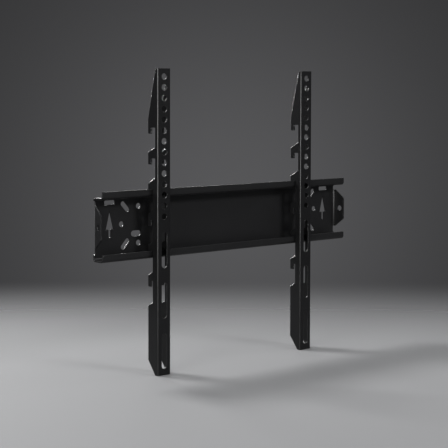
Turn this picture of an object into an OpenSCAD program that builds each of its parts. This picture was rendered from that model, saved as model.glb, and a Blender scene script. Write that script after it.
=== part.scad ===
// Fixed wall bracket for a flat screen.
// A folded wall plate is screwed to the wall, and two arms, screwed to the back
// of the screen, hook over its two upturned lips.
// Each of the three pieces is punched from steel sheet, folded and powder coated.
// Frame: +Z up, +Y into the wall, +X to the right of someone who faces the wall.
// Origin: the middle of the wall plate's rear face.

/* [Wall plate] */
// Length from end to end
plate_l = 461; // [420:1:560]
// Height over the two folded flanges
plate_h = 88; // [84:0.5:100]
// Depth from the wall to the front of the lips
channel_d = 23.6; // [21:0.1:28]
// Height of each upturned lip, its flange included
lip_h = 11.1; // [10.5:0.1:14]
// Thickness of the plate's sheet
plate_t = 2; // [1.5:0.1:2.4]
// Inside radius of the plate's folds
plate_fold_r = 3; // [1:0.1:3.5]

/* [End tabs] */
// Reach of each end tab, from the wall to its free edge
tab_reach = 22.4; // [21:0.1:30]
// Inside radius of the tabs' folds
tab_fold_r = 4; // [2:0.1:5]
// How far each tab is folded short of square, in degrees
tab_open = 7; // [0:1:12]
// Height of a tab at its fold
tab_root_h = 58.4; // [40:0.2:64]
// Height of a tab at its free edge
tab_edge_h = 32.8; // [20:0.2:38]
// Height of the tabs' middle above the plate's middle
tab_z = 4.2; // [-4:0.1:6]
// Bore of the locking hole in each tab
tab_hole_d = 8.4; // [5:0.1:10]
// Reach of the locking hole from the wall
tab_hole_reach = 15; // [13:0.1:17]
// Depth of the relief notches beside each tab
relief_in = 2.5; // [1.5:0.1:3.5]
// Distance of the upper relief notches from the plate's top
relief_top_in = 4; // [3:0.1:6]
// Distance of the lower relief notches from the plate's underside
relief_foot_in = 8.7; // [4:0.1:12]

/* [Wall holes] */
// Bore of the round wall holes
wall_hole_d = 7.8; // [6:0.1:10]
// Distance of the middle wall hole from the plate's end
mid_hole_in = 45.6; // [44:0.1:48]
// Height of the middle wall hole above the plate's middle
mid_hole_z = 5; // [0:0.1:8]
// Distance of the upper and lower wall holes from the plate's end
pair_hole_in = 74.5; // [70:0.1:77]
// Height of the middle between the upper and lower wall holes
pair_hole_z = 3; // [-2:0.1:4]
// Distance between the upper and lower wall holes
pair_hole_span = 51.8; // [46:0.1:56]

/* [Wall slots] */
// Width of the obround slot beside each arm
level_slot_w = 8.1; // [7:0.1:10]
// Length of the obround slot beside each arm
level_slot_l = 16.4; // [14:0.1:19]
// Distance of the obround slot's middle from the plate's end
level_slot_in = 70.2; // [66:0.1:72]
// Height of the obround slot's middle, below the plate's middle
level_slot_drop = 9.5; // [7:0.1:12]
// Width of the two slanting slots at each end
slant_slot_w = 6.8; // [5:0.1:8]
// Length of the two slanting slots at each end
slant_slot_l = 17.8; // [14:0.1:24]
// Angle of the slanting slots from level, in degrees
slant_slot_angle = 48; // [40:1:60]
// Distance of the slanting slots' middles from the plate's end
slant_slot_in = 51.9; // [49:0.1:54]
// Distance between the middles of the two slanting slots
slant_slot_span = 52.2; // [48:0.1:55]
// Length of the level slot in each upper corner
corner_slot_l = 17; // [12:0.1:20]
// Width of the level slot in each upper corner
corner_slot_w = 6; // [5:0.1:7]
// Corner radius of that slot
corner_slot_r = 1.5; // [0.5:0.1:2.2]
// Distance of that slot's middle from the plate's end
corner_slot_in = 25.9; // [22:0.1:28]
// Height of that slot's middle above the plate's middle
corner_slot_z = 36.2; // [34:0.1:36.5]

/* [Arrow cut-outs] */
// Overall height of the arrow that shows which way is up
arrow_h = 36.9; // [30:0.1:40]
// Height of the arrow's head
arrow_head_h = 25.3; // [18:0.1:28]
// Width of the arrow's head
arrow_head_w = 12.4; // [10:0.1:16]
// Width of the arrow's shaft
arrow_shaft_w = 3.6; // [2.5:0.1:5]
// Distance of the arrow from the plate's end
arrow_in = 26.1; // [24:0.1:28]
// Height of the arrow's middle above the plate's middle
arrow_z = 5.8; // [2:0.1:8]

/* [Arms] */
// Height of each arm
arm_h = 430; // [428:1:470]
// Width of each arm's front face
arm_w = 23; // [20:0.5:26]
// Distance between the middles of the two arms
arm_spacing = 271.6; // [220:0.1:280]
// Distance from the wall to the arms' front faces
stand_off = 36.1; // [36:0.1:38]
// Thickness of the arms' sheet
arm_t = 2; // [1.5:0.1:2.4]
// Inside radius of the arms' folds
arm_fold_r = 1; // [0.5:0.1:1.6]

/* [Arm holes] */
// Number of round holes in each arm
hole_count = 14; // [10:1:14]
// Bore of the round holes and width of the long slots
hole_d = 8.8; // [6:0.1:10]
// Distance between neighbouring round holes
hole_pitch = 15; // [12:0.1:15.5]
// Distance of the first round hole from the arm's top
hole_first = 11.3; // [9:0.1:14]
// Number of long slots in each arm
slot_count = 3; // [1:1:3]
// Length of each long slot
slot_l = 50; // [40:0.5:51]
// Distance between the ends of neighbouring long slots
slot_gap = 21.1; // [18:0.1:22]
// Distance of the first long slot's upper end from the arm's top
slot_first = 228.6; // [226:0.1:230]

/* [Hooks] */
// Number of hooks down each flange
hook_count = 6; // [5:1:6]
// Depth of the flanges at the hooks, from the arm's front face
hook_d = 22.9; // [20:0.1:25]
// Distance of the first hook's seat from the arm's top
hook_first = 82.6; // [80:0.1:90]
// Bevel on the end of each hook's tip
tip_bevel = 1; // [0.6:0.1:1.5]
// Height of the upright back of each hook above its seat
shoulder_h = 7.5; // [6:0.1:9]
// Slope of the ramp that leads up to each hook, in degrees
ramp_angle = 26.6; // [20:0.1:32]
// Play between a lip and the front of the hook slot that holds it
lip_play_front = 0.3; // [0.2:0.05:0.5]
// Play between a lip and the hook tip behind it
lip_play_rear = 0.9; // [0.5:0.05:1.2]
// Play between a hook's tip and the flange below it
tip_play = 0.5; // [0.4:0.05:1.5]

/* [Flange outline] */
// Depth of the flanges at the arm's top
crown_d = 5.6; // [4.5:0.1:8]
// Length over which the flanges widen below the arm's top
crown_l = 71; // [60:0.5:72]
// Depth of the flanges between the upper hooks
waist_d = 6.4; // [5.5:0.1:9]
// Depth of the flanges at the arm's foot
foot_d = 6.5; // [4.5:0.1:10]
// Height of the slanting cut at the foot
foot_cut_h = 19.6; // [14:0.1:24]

/* [Hidden] */
$fn = 48;

// Overrun of every cut past the faces that it goes through
cut = 1;
// How far a tab's sheet is carried into the back's, so that the two are one
lap = 1;

// Wall plate
plate_fold_out = plate_fold_r + plate_t;
tab_fold_out = tab_fold_r + plate_t;
half_l = plate_l / 2;
half_h = plate_h / 2;
lip_y = -channel_d;
lip_bases = [half_h - plate_t, -half_h];
lip_tops = [for (base = lip_bases) base + lip_h];
lip_spacing = lip_tops[0] - lip_tops[1];

// Arms
arm_fold_out = arm_fold_r + arm_t;
hook_pitch = lip_spacing / 2;
// The hook that hangs on the upper lip; the one two below it holds the lower lip
seated_hook = 2;
arm_top = lip_tops[0] + hook_first + seated_hook * hook_pitch;
// Depths behind the front face: front and rear of the slots that hold the lips
seat_front_d = stand_off - channel_d - lip_play_front;
seat_rear_d = stand_off - channel_d + plate_t + lip_play_rear;
tip_l = lip_h - plate_t - tip_play;

// A flat outline in Y and Z, carried along X on both sides of the middle
module along_x(length) {
    rotate([90, 0, 90]) linear_extrude(height = length, center = true) children();
}

// A round bar along Y, for drilling
module drill(diameter, length) {
    rotate([90, 0, 0]) cylinder(d = diameter, h = length, center = true);
}

// A slot's cutter along Y, with round ends; its length runs along X
module slot_cutter(width, length, depth) {
    straight = length - width;
    cube([straight, depth, width], center = true);
    for (side = [-1, 1]) translate([side * straight / 2, 0, 0]) drill(width, depth);
}

// A quarter of a folded sheet's bend, with its middle at the origin
module quarter_fold(inner_r, thickness, toward_a, toward_b) {
    outer_r = inner_r + thickness;
    intersection() {
        difference() {
            circle(r = outer_r);
            circle(r = inner_r);
        }
        translate([toward_a > 0 ? 0 : -outer_r, toward_b > 0 ? 0 : -outer_r]) square(outer_r);
    }
}

// The wall plate's section in Y and Z: back, two flanges and two upturned lips
module channel_section() {
    r = plate_fold_out;
    translate([-plate_t, -half_h + r]) square([plate_t, plate_h - 2 * r]);
    for (base = lip_bases) {
        translate([lip_y + r, base]) square([channel_d - 2 * r, plate_t]);
        translate([lip_y, base + r]) square([plate_t, lip_h - r]);
        translate([lip_y + r, base + r]) quarter_fold(plate_fold_r, plate_t, -1, -1);
    }
    translate([-r, half_h - r]) quarter_fold(plate_fold_r, plate_t, 1, 1);
    translate([-r, -half_h + r]) quarter_fold(plate_fold_r, plate_t, 1, -1);
}

// Plan of the right end tab: its bend, and the flat that leans outward. The solid
// corner comes first, then everything on the inside of the fold is taken away.
module tab_plan() {
    r = tab_fold_out;
    flat_l = (tab_reach - r + r * sin(tab_open)) / cos(tab_open);
    translate([half_l - r, -r]) difference() {
        union() {
            circle(r = r);
            translate([-lap, 0]) square([lap, r]);
            rotate(tab_open) translate([0, -flat_l]) square([r, flat_l]);
        }
        circle(r = tab_fold_r);
        translate([-tab_reach, -tab_reach]) square([tab_reach, tab_reach + tab_fold_r]);
        rotate(tab_open) translate([-tab_reach, -flat_l - cut])
            square([tab_reach + tab_fold_r, flat_l + cut]);
    }
}

// The right end tab: the plan above, cut to a trapezoid
module end_tab() {
    intersection() {
        translate([0, 0, tab_z - tab_root_h / 2]) linear_extrude(height = tab_root_h) tab_plan();
        translate([half_l, 0, tab_z]) along_x(2 * tab_reach) polygon([
            [cut, -tab_root_h / 2], [cut, tab_root_h / 2],
            [-tab_fold_out, tab_root_h / 2], [-tab_reach, tab_edge_h / 2],
            [-tab_reach, -tab_edge_h / 2], [-tab_fold_out, -tab_root_h / 2]]);
    }
}

// What is taken off the back at the right end: a relief notch with round ends above
// and below the tab, and the strip that the tab's fold takes up
module end_relief() {
    depth = plate_t + 2 * cut;
    notch_l = plate_h - relief_top_in - relief_foot_in;
    translate([half_l, -plate_t / 2, (relief_foot_in - relief_top_in) / 2])
        rotate([0, 90, 0]) slot_cutter(2 * relief_in, notch_l, depth);
    translate([half_l - tab_fold_out, -plate_t - cut, tab_z - tab_root_h / 2])
        cube([tab_fold_out + cut, depth, tab_root_h]);
}

// The arrow, point up, centred on its own height
module arrow_cutter(depth) {
    base_z = arrow_h / 2 - arrow_head_h;
    along_y(depth) polygon([
        [0, arrow_h / 2], [-arrow_head_w / 2, base_z], [-arrow_shaft_w / 2, base_z],
        [-arrow_shaft_w / 2, -arrow_h / 2], [arrow_shaft_w / 2, -arrow_h / 2],
        [arrow_shaft_w / 2, base_z], [arrow_head_w / 2, base_z]]);
}

// A flat outline in X and Z, carried along Y on both sides of the middle
module along_y(length) {
    rotate([90, 0, 0]) linear_extrude(height = length, center = true) children();
}

// The level slot in an upper corner, with small corner radii
module corner_slot_cutter(depth) {
    cube([corner_slot_l - 2 * corner_slot_r, depth, corner_slot_w], center = true);
    cube([corner_slot_l, depth, corner_slot_w - 2 * corner_slot_r], center = true);
    for (sx = [-1, 1], sz = [-1, 1])
        translate([sx * (corner_slot_l / 2 - corner_slot_r), 0, sz * (corner_slot_w / 2 - corner_slot_r)])
            drill(2 * corner_slot_r, depth);
}

// Every cut-out at the plate's right end
module end_cutouts() {
    depth = plate_t + 2 * cut;
    translate([half_l, -plate_t / 2, 0]) {
        translate([-mid_hole_in, 0, mid_hole_z]) drill(wall_hole_d, depth);
        for (side = [-1, 1]) {
            translate([-pair_hole_in, 0, pair_hole_z + side * pair_hole_span / 2])
                drill(wall_hole_d, depth);
            translate([-slant_slot_in, 0, pair_hole_z + side * slant_slot_span / 2])
                rotate([0, -side * slant_slot_angle, 0])
                    slot_cutter(slant_slot_w, slant_slot_l, depth);
        }
        translate([-level_slot_in, 0, -level_slot_drop]) slot_cutter(level_slot_w, level_slot_l, depth);
        translate([-corner_slot_in, 0, corner_slot_z]) corner_slot_cutter(depth);
        translate([-arrow_in, 0, arrow_z]) arrow_cutter(depth);
    }
}

// The locking hole, square to the right end tab
module tab_bore() {
    translate([half_l - tab_fold_out, -tab_fold_out, tab_z])
        rotate(tab_open)
            translate([tab_fold_r + plate_t / 2, tab_fold_out - tab_hole_reach, 0])
                rotate([0, 90, 0]) cylinder(d = tab_hole_d, h = plate_t + 2 * cut, center = true);
}

// The wall plate: one sheet, folded into a channel with both lips turned up
module wall_plate() {
    color([0.10, 0.10, 0.11]) difference() {
        union() {
            difference() {
                along_x(plate_l) channel_section();
                for (side = [0, 1]) mirror([side, 0, 0]) {
                    end_relief();
                    end_cutouts();
                }
            }
            for (side = [0, 1]) mirror([side, 0, 0]) end_tab();
        }
        for (side = [0, 1]) mirror([side, 0, 0]) tab_bore();
    }
}

// A bar's section in X and Y, from its front face back, with its two front corners round
module round_front(width, depth, r) {
    translate([-width / 2, r]) square([width, depth - r]);
    translate([-width / 2 + r, 0]) square([width - 2 * r, r]);
    for (side = [-1, 1]) translate([side * (width / 2 - r), r]) circle(r = r);
}

// Where the ramp above a hook meets a given depth, measured up from the hook's seat
function ramp_rise(depth) = shoulder_h + (hook_d - depth) * tan(ramp_angle);

// Distance of a hook's seat below the arm's top
function seat_drop(i) = hook_first + i * hook_pitch;

// Depth of the flange above a hook, and of the slot's front below its seat
function neck_above(i) = i <= seated_hook ? waist_d : seat_front_d;
function neck_below(i) = i < seated_hook ? waist_d : seat_front_d;

// The corners of one hook, from its ramp down round its tip and up to its seat
function hook_points(i) = let (s = seat_drop(i)) concat(
    i == 0 ? [[hook_d, crown_l]] : [[neck_above(i), s - ramp_rise(neck_above(i))], [hook_d, s - shoulder_h]],
    [[hook_d, s + tip_l - tip_bevel], [hook_d - tip_bevel, s + tip_l],
     [seat_rear_d + tip_bevel, s + tip_l], [seat_rear_d, s + tip_l - tip_bevel],
     [seat_rear_d, s], [neck_below(i), s]]);

// The outline of both flanges: depth behind the front face, distance below the top
function flange_points() = let (last = seat_drop(hook_count)) concat(
    [[-cut, 0], [crown_d, 0]],
    [for (i = [0 : hook_count - 1]) each hook_points(i)],
    [[seat_front_d, last - ramp_rise(seat_front_d)], [hook_d, last - shoulder_h],
     [hook_d, arm_h - foot_cut_h], [foot_d, arm_h], [-cut, arm_h]]);

// One arm: a channel open to the wall, its two flanges cut to a row of hooks
module arm() {
    translate([0, -stand_off, arm_top]) difference() {
        intersection() {
            translate([0, 0, -arm_h]) linear_extrude(height = arm_h) difference() {
                round_front(arm_w, hook_d, arm_fold_out);
                translate([0, arm_t]) round_front(arm_w - 2 * arm_t, hook_d - arm_t + cut, arm_fold_r);
            }
            along_x(arm_w + 2 * cut) polygon([for (p = flange_points()) [p[0], -p[1]]]);
        }
        for (i = [0 : hole_count - 1])
            translate([0, arm_t / 2, -hole_first - i * hole_pitch]) drill(hole_d, arm_t + 2 * cut);
        for (i = [0 : slot_count - 1])
            translate([0, arm_t / 2, -slot_first - slot_l / 2 - i * (slot_l + slot_gap)])
                rotate([0, 90, 0]) slot_cutter(hole_d, slot_l, arm_t + 2 * cut);
    }
}

module left_arm() {
    color([0.09, 0.09, 0.10]) translate([-arm_spacing / 2, 0, 0]) arm();
}

module right_arm() {
    color([0.09, 0.09, 0.10]) translate([arm_spacing / 2, 0, 0]) arm();
}

wall_plate();
left_arm();
right_arm();
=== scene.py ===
import math

import bmesh
import bpy
import numpy as np
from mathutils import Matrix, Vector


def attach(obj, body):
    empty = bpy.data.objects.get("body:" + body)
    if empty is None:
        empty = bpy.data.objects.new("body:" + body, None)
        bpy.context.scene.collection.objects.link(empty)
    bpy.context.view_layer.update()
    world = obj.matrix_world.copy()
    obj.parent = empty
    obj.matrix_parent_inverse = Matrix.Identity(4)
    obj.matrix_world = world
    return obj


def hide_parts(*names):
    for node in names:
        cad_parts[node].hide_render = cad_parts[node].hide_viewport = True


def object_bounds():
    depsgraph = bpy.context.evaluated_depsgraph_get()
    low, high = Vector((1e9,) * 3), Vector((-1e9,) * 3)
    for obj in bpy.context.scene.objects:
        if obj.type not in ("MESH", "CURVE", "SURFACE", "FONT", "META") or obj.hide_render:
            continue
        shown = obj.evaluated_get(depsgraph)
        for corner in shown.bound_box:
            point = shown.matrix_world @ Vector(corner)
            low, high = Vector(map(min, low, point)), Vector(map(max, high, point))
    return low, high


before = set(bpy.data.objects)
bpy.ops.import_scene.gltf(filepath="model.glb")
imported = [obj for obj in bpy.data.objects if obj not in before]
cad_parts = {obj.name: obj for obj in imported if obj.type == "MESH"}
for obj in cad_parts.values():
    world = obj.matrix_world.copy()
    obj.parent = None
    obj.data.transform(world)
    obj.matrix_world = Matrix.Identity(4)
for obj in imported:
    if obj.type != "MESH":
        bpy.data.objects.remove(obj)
cad_low, cad_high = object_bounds()
scene = bpy.context.scene
scene.view_settings.view_transform = "Standard"


# The photographer's camera
# It stands to the left of the bracket, level with the upper hooks, and looks a touch
# downward; the picture plane is shifted so that the uprights stay nearly parallel.
CAMERA_PLACE = (-1.1194, -1.3595, 0.1832)
CAMERA_TURN = -39.5
CAMERA_DIP = 2.50
CAMERA_ROLL = 0.11
LENS = 95.2
SHIFT_DOWN = 0.170

camera_data = bpy.data.cameras.new("camera")
camera_data.sensor_width = 36.0
camera_data.lens = LENS
camera_data.shift_y = -SHIFT_DOWN
camera = bpy.data.objects.new("camera", camera_data)
camera.location = CAMERA_PLACE
camera.rotation_euler = [math.radians(angle) for angle in (90.0 - CAMERA_DIP, -CAMERA_ROLL, CAMERA_TURN)]
scene.collection.objects.link(camera)
scene.camera = camera


# Black powder coat
# Each sheet is sprayed with black polyester powder and baked. The coat has a fine
# orange peel and a satin sheen, and pulls thin along the punched edges.
CLOUD_SIZE, CLOUD_DETAIL = 24.0, 3.0
PATCH_SIZE, PATCH_DETAIL = 140.0, 4.0
PEEL_SIZE, PEEL_DETAIL = 1100.0, 2.0
PEEL_DEPTH = 0.0002
COLOUR_DRIFT = 0.35
COAT_IOR = 1.5


def maths(tree, kind, first, second=0.0):
    """The output of a Math node; each operand is a number or another node's output."""
    node = tree.nodes.new("ShaderNodeMath")
    node.operation = kind
    for socket, value in zip(node.inputs, (first, second)):
        if isinstance(value, (int, float)):
            socket.default_value = value
        else:
            tree.links.new(value, socket)
    return node.outputs[0]


def coat_group():
    """A node group: noise of three sizes gives a drift in colour, a patchy sheen and orange peel."""
    group = bpy.data.node_groups.new("powder coat", "ShaderNodeTree")
    colour, number, vector = "NodeSocketColor", "NodeSocketFloat", "NodeSocketVector"
    for name in ("Tone", "Sheen roughness", "Patchiness", "Peel height"):
        kind = colour if name == "Tone" else number
        group.interface.new_socket(name, in_out="INPUT", socket_type=kind)
    for name, kind in (("Colour", colour), ("Roughness", number), ("Normal", vector)):
        group.interface.new_socket(name, in_out="OUTPUT", socket_type=kind)
    nodes, link = group.nodes, group.links.new
    entry = nodes.new("NodeGroupInput")
    leave = nodes.new("NodeGroupOutput")
    place = nodes.new("ShaderNodeTexCoord")

    def noise(size, detail):
        texture = nodes.new("ShaderNodeTexNoise")
        texture.inputs["Detail"].default_value = detail
        texture.inputs["Scale"].default_value = size
        link(place.outputs["Object"], texture.inputs["Vector"])
        return texture.outputs["Fac"]

    clouds = maths(group, "SUBTRACT", noise(CLOUD_SIZE, CLOUD_DETAIL), 0.5)
    patches = maths(group, "SUBTRACT", noise(PATCH_SIZE, PATCH_DETAIL), 0.5)
    peel = noise(PEEL_SIZE, PEEL_DETAIL)

    lift = maths(group, "ADD", maths(group, "MULTIPLY", clouds, COLOUR_DRIFT), 1.0)
    tint = nodes.new("ShaderNodeVectorMath")
    tint.operation = "SCALE"
    link(entry.outputs["Tone"], tint.inputs[0])
    link(lift, tint.inputs["Scale"])
    link(tint.outputs[0], leave.inputs["Colour"])

    worn = maths(group, "MULTIPLY", patches, entry.outputs["Patchiness"])
    link(maths(group, "ADD", worn, entry.outputs["Sheen roughness"]), leave.inputs["Roughness"])

    bump = nodes.new("ShaderNodeBump")
    bump.inputs["Distance"].default_value = PEEL_DEPTH
    link(entry.outputs["Peel height"], bump.inputs["Strength"])
    link(peel, bump.inputs["Height"])
    link(bump.outputs["Normal"], leave.inputs["Normal"])
    return group


powder_coat = coat_group()


def coated(name, tone, roughness, patchiness, peel_height, shine=0.5):
    """A painted material whose colour, roughness and normal come from the powder coat group."""
    material = bpy.data.materials.new(name)
    material.use_nodes = True
    nodes, link = material.node_tree.nodes, material.node_tree.links.new
    shader = nodes["Principled BSDF"]
    shader.inputs["IOR"].default_value = COAT_IOR
    shader.inputs["Specular IOR Level"].default_value = shine
    coat = nodes.new("ShaderNodeGroup")
    coat.node_tree = powder_coat
    coat.inputs["Tone"].default_value = (*tone, 1.0)
    coat.inputs["Sheen roughness"].default_value = roughness
    coat.inputs["Patchiness"].default_value = patchiness
    coat.inputs["Peel height"].default_value = peel_height
    link(coat.outputs["Colour"], shader.inputs["Base Color"])
    link(coat.outputs["Roughness"], shader.inputs["Roughness"])
    link(coat.outputs["Normal"], shader.inputs["Normal"])
    return material


# Folded and punched sheets
# The press leaves every punched edge with a slight roll, which the powder rounds off
# further, so each sheet is a copy of its solid with its sharp edges broken.
EDGE_ROLL = 0.0004
EDGE_STEPS = 3
SHARP_ANGLE = math.radians(28.0)
FLAT_ANGLE = math.radians(0.6)
SLIVER_ANGLE = math.radians(20.0)
JOIN_DISTANCE = 1e-6
CLOSE_DISTANCE = 1e-5


def broken_edges(name, node, flat_coat, edge_coat):
    """A copy of a CAD node with flat faces made whole and its sharp edges rounded by EDGE_ROLL.

    A face with a corner under SLIVER_ANGLE is too thin for that, so its edges are left as they
    are. Normals are weighted by area, so that a flat stays flat right up to its folds."""
    mesh = bpy.data.meshes.new(name)
    shape = bmesh.new()
    shape.from_mesh(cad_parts[node].data)
    bmesh.ops.remove_doubles(shape, verts=shape.verts, dist=JOIN_DISTANCE)
    bmesh.ops.dissolve_limit(shape, angle_limit=FLAT_ANGLE, verts=shape.verts, edges=shape.edges)
    for face in shape.faces:
        face.smooth = True
        face.material_index = 0
    weight = shape.edges.layers.float.new("bevel_weight_edge")
    sharp = {edge for edge in shape.edges if edge.calc_face_angle(0.0) > SHARP_ANGLE}
    for edge in sharp:
        edge[weight] = 1.0
    for face in shape.faces:
        thin = [corner.calc_angle() < SLIVER_ANGLE and {corner.edge, corner.link_loop_prev.edge} <= sharp
                for corner in face.loops]
        if any(thin):
            for edge in face.edges:
                edge[weight] = 0.0
    shape.to_mesh(mesh)
    shape.free()
    mesh.materials.append(flat_coat)
    mesh.materials.append(edge_coat)
    piece = bpy.data.objects.new(name, mesh)
    scene.collection.objects.link(piece)
    roll = piece.modifiers.new("rolled edges", "BEVEL")
    roll.width = EDGE_ROLL
    roll.segments = EDGE_STEPS
    roll.use_clamp_overlap = False
    roll.loop_slide = False
    roll.miter_outer = "MITER_ARC"
    roll.limit_method = "WEIGHT"
    roll.material = 1
    weld = piece.modifiers.new("closed corners", "WELD")
    weld.merge_threshold = CLOSE_DISTANCE
    level = piece.modifiers.new("level faces", "WEIGHTED_NORMAL")
    level.mode = "FACE_AREA"
    level.weight = 100
    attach(piece, "root")
    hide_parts(node)
    return piece


# Wall plate
# One sheet of 2 mm steel: wall holes, slots and arrows are punched first, then the
# flanges, lips and end tabs are folded up, and the whole is coated.
plate_coat = coated("plate powder coat", (0.0190, 0.0190, 0.0202), 0.40, 0.08, 0.25)
plate_edge = coated("plate edge coat", (0.0190, 0.0190, 0.0202), 0.36, 0.06, 0.10)
plate = broken_edges("plate_sheet", "wall_plate", plate_coat, plate_edge)


# Arms
# Two sheets alike: the holes, long slots and hooks are punched, and both long flanges
# are folded back. Each hangs on the plate's lips by its hooks.
arm_coat = coated("arm powder coat", (0.0130, 0.0130, 0.0140), 0.33, 0.06, 0.25)
# The arms' edge coat is a little lighter than their flats: partly the thinner coat along the edges, partly a
# painted highlight along the arms' edges.
arm_edge_with_painted_highlight = coated("arm edge coat with painted highlight", (0.0170, 0.0170, 0.0182), 0.30, 0.06, 0.10, shine=1.0)
for side in ("left", "right"):
    arm = broken_edges(side + "_arm_sheet", side + "_arm", arm_coat, arm_edge_with_painted_highlight)


# Floor and backdrop
# A pale sheet of studio paper under the bracket. It fades out behind into the grey of
# the backdrop, which carries a painted glow, a soft pool of light painted into its colour, on all eight
# sides of the set.
PAPER_MIDDLE = 0.30
PAPER_FLAT, PAPER_END = 0.30, 1.05
PAPER_GREY = (0.400, 0.400, 0.407)
PAPER_BOUNCE = (0.10, 0.10, 0.10)
PAPER_MIRRORED = 0.4
PAPER_ROUGHNESS, PAPER_SHINE = 0.85, 0.1
PAPER_HALF, PAPER_COUNT = 1.4, 29
BACKDROP_GREY = (0.0300, 0.0300, 0.0312)
# The extra grey at the middle of each glow: a painted pool of light on the backdrop, from no lamp.
BACKDROP_PAINTED_GLOW = (0.0630, 0.0630, 0.0655)
GLOW_DIP = 5.0
GLOW_SHARPNESS = 58.8
AIR_COLOUR, AIR_STRENGTH = (0.96, 0.98, 1.0), 0.26


def mixed_colour(tree, share, first, second):
    """The output of a Mix node: the first colour where share is nought, the second where it is one."""
    node = tree.nodes.new("ShaderNodeMix")
    node.data_type = "RGBA"
    colours = [socket for socket in node.inputs if socket.type == "RGBA"]
    for socket, colour in zip(colours, (first, second)):
        socket.default_value = (*colour, 1.0)
    tree.links.new(share, node.inputs["Factor"])
    return next(socket for socket in node.outputs if socket.type == "RGBA")


def seen_directly(tree, sheen=1.0):
    """1 for a ray from the camera, sheen for one off a glossy surface, 0 for one that only carries light."""
    rays = tree.nodes.new("ShaderNodeLightPath").outputs
    mirrored = maths(tree, "MULTIPLY", rays["Is Glossy Ray"], sheen)
    through = maths(tree, "MAXIMUM", mirrored, rays["Is Transmission Ray"])
    return maths(tree, "MAXIMUM", rays["Is Camera Ray"], through)


def paper_mesh(half, count):
    """A level square grid: X and Y run evenly from -half to half."""
    line = np.linspace(-half, half, count)
    x, y = np.meshgrid(line, line, indexing="ij")
    points = np.stack([x, y, np.zeros_like(x)], axis=-1).reshape(-1, 3)
    row, column = np.meshgrid(np.arange(count - 1), np.arange(count - 1), indexing="ij")
    here = row * count + column
    quads = np.stack([here, here + count, here + count + 1, here + 1], axis=-1).reshape(-1, 4)
    mesh = bpy.data.meshes.new("studio_paper")
    mesh.from_pydata(points.tolist(), [], quads.tolist())
    return mesh


def paper_material():
    """Matt pale paper; its cover falls smoothly from one to nought over a rounded square, x^4 + y^4."""
    material = bpy.data.materials.new("studio paper")
    material.use_nodes = True
    tree = material.node_tree
    nodes, link = tree.nodes, tree.links.new
    place = nodes.new("ShaderNodeTexCoord")
    parts = nodes.new("ShaderNodeSeparateXYZ")
    link(place.outputs["Object"], parts.inputs[0])
    fourths = [maths(tree, "POWER", maths(tree, "ABSOLUTE", parts.outputs[i]), 4.0) for i in (0, 1)]
    reach = maths(tree, "POWER", maths(tree, "ADD", *fourths), 0.25)
    cover = nodes.new("ShaderNodeMapRange")
    cover.interpolation_type = "SMOOTHSTEP"
    cover.inputs["From Min"].default_value = PAPER_END
    cover.inputs["From Max"].default_value = PAPER_FLAT
    link(reach, cover.inputs["Value"])

    tone = mixed_colour(tree, seen_directly(tree, PAPER_MIRRORED), PAPER_BOUNCE, PAPER_GREY)
    shader = nodes["Principled BSDF"]
    shader.inputs["Roughness"].default_value = PAPER_ROUGHNESS
    shader.inputs["Specular IOR Level"].default_value = PAPER_SHINE
    link(tone, shader.inputs["Base Color"])

    clear = nodes.new("ShaderNodeBsdfTransparent")
    blend = nodes.new("ShaderNodeMixShader")
    link(cover.outputs["Result"], blend.inputs[0])
    link(clear.outputs[0], blend.inputs[1])
    link(shader.outputs[0], blend.inputs[2])
    link(blend.outputs[0], nodes["Material Output"].inputs["Surface"])
    return material


paper = bpy.data.objects.new("studio_paper", paper_mesh(PAPER_HALF, PAPER_COUNT))
paper.data.materials.append(paper_material())
turn = math.radians(CAMERA_TURN)
paper.location = (PAPER_MIDDLE * math.sin(turn), -PAPER_MIDDLE * math.cos(turn), cad_low.z)
paper.rotation_euler.z = turn
scene.collection.objects.link(paper)


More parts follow.
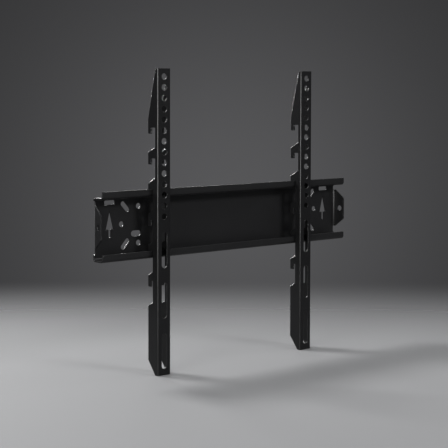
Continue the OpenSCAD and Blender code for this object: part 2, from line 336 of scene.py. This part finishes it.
def backdrop_world():
    """Grey with eight soft painted glows, pools of light painted into its colour where it is seen, and even
    studio air where it only lights.

    The glow is exp(-k (1 - c)), with c the cosine of the angle to the nearest glow's middle."""
    world = bpy.data.worlds.new("studio")
    world.use_nodes = True
    tree = world.node_tree
    nodes, link = tree.nodes, tree.links.new
    place = nodes.new("ShaderNodeTexCoord")
    turned = nodes.new("ShaderNodeVectorRotate")
    turned.rotation_type = "Z_AXIS"
    turned.inputs["Angle"].default_value = -turn
    link(place.outputs["Generated"], turned.inputs["Vector"])
    parts = nodes.new("ShaderNodeSeparateXYZ")
    link(turned.outputs[0], parts.inputs[0])
    x, y = parts.outputs[0], parts.outputs[1]
    square = maths(tree, "MAXIMUM", maths(tree, "ABSOLUTE", x), maths(tree, "ABSOLUTE", y))
    slants = [maths(tree, "ABSOLUTE", maths(tree, kind, x, y)) for kind in ("ADD", "SUBTRACT")]
    corners = maths(tree, "MULTIPLY", maths(tree, "MAXIMUM", *slants), math.sqrt(0.5))
    level = maths(tree, "MAXIMUM", square, corners)
    dip = math.radians(GLOW_DIP)
    cosine = maths(tree, "ADD", maths(tree, "MULTIPLY", level, math.cos(dip)),
                   maths(tree, "MULTIPLY", parts.outputs[2], -math.sin(dip)))
    fall = maths(tree, "MULTIPLY", maths(tree, "SUBTRACT", cosine, 1.0), GLOW_SHARPNESS)
    brightest = np.add(BACKDROP_GREY, BACKDROP_PAINTED_GLOW)
    # The backdrop's colour is raised towards each glow's middle: painted light, which lights nothing.
    painted_glow = mixed_colour(tree, maths(tree, "EXPONENT", fall), BACKDROP_GREY, brightest)

    air = nodes["Background"]
    air.inputs["Color"].default_value = (*AIR_COLOUR, 1.0)
    air.inputs["Strength"].default_value = AIR_STRENGTH
    shown = nodes.new("ShaderNodeBackground")
    link(painted_glow, shown.inputs["Color"])
    blend = nodes.new("ShaderNodeMixShader")
    link(seen_directly(tree), blend.inputs[0])
    link(air.outputs[0], blend.inputs[1])
    link(shown.outputs[0], blend.inputs[2])
    link(blend.outputs[0], nodes["World Output"].inputs["Surface"])
    return world


scene.world = backdrop_world()


# Lamps
# A key high behind on the left throws the shadows forward. Two low lamps behind catch
# the upper edges, weak ones stand in front and at both sides, and a slim strip beside
# the camera is seen only as the bright line along each fold.
def soft_box(name, side, height, distance, size, power, lights_flats=True):
    """An area lamp that faces the bracket, from so many degrees to the right of its front and above it."""
    data = bpy.data.lights.new(name, "AREA")
    data.shape = "RECTANGLE"
    data.size, data.size_y = size
    data.energy = power
    lamp = bpy.data.objects.new(name, data)
    around, up = math.radians(side), math.radians(height)
    flat = distance * math.cos(up)
    lamp.location = (flat * math.sin(around), -flat * math.cos(around), distance * math.sin(up))
    lamp.rotation_euler = (math.pi / 2 - up, 0.0, around)
    lamp.visible_camera = False
    lamp.visible_diffuse = lights_flats
    scene.collection.objects.link(lamp)


soft_box("key", -151.8, 50.0, 2.2, (0.48, 0.48), 27.0)
soft_box("rim", 175.0, 15.5, 2.4, (0.45, 0.60), 85.0, lights_flats=False)
soft_box("skimmer", 147.0, 14.0, 2.2, (0.7, 0.25), 4.5)
soft_box("front", 20.0, 32.0, 2.2, (0.5, 0.5), 12.0)
soft_box("left side", -72.0, 30.0, 2.2, (0.6, 0.6), 6.0)
soft_box("right side", 70.0, 35.0, 2.2, (0.6, 0.6), 3.2)
soft_box("strip", -60.0, 6.5, 1.9, (0.12, 0.78), 19.0, lights_flats=False)
